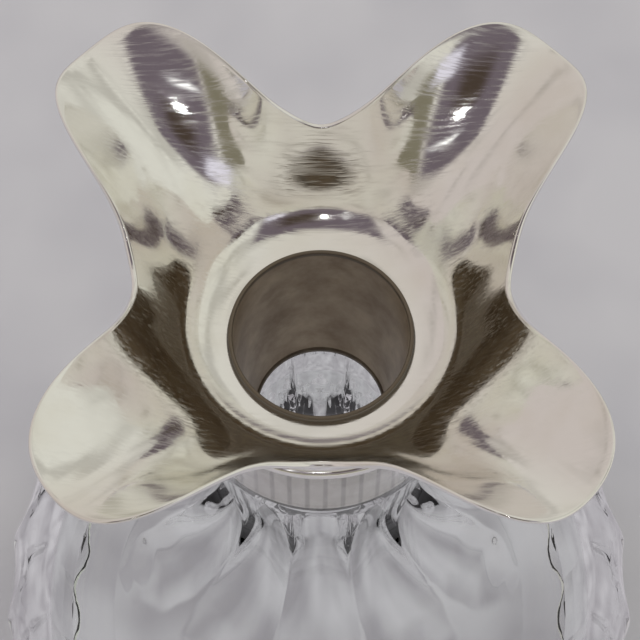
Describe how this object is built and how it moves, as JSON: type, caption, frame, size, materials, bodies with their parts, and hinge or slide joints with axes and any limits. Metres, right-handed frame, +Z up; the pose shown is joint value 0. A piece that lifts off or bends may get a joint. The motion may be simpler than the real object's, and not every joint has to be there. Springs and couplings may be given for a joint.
{
  "type": "spirit decanter",
  "caption": "Wide-bodied cut-glass spirit decanter with a fluted neck and a flared silver mouth mount that has four pouring lips.",
  "frame": {"origin": "centre of the base, on the surface the bottle stands on", "axes": "+Z up along the bottle's axis; the four lips point along the diagonals between X and Y"},
  "size_m": [0.1204, 0.1204, 0.1804],
  "materials": {
    "lead_glass": "clear cut lead glass",
    "polished_silver": "hand-polished silver, lightly worn",
    "darkened_silver": "tarnished silver",
    "plaster": "set plaster"
  },
  "bodies": {
    "root": {"glass_bottle": "lead_glass", "flared_wall": "polished_silver", "dished_plate": "polished_silver", "stopper_sleeve": "darkened_silver", "sleeve_end_wire": "darkened_silver", "foot_ring": "polished_silver", "plaster_bed": "plaster"}
  },
  "joints": []
}
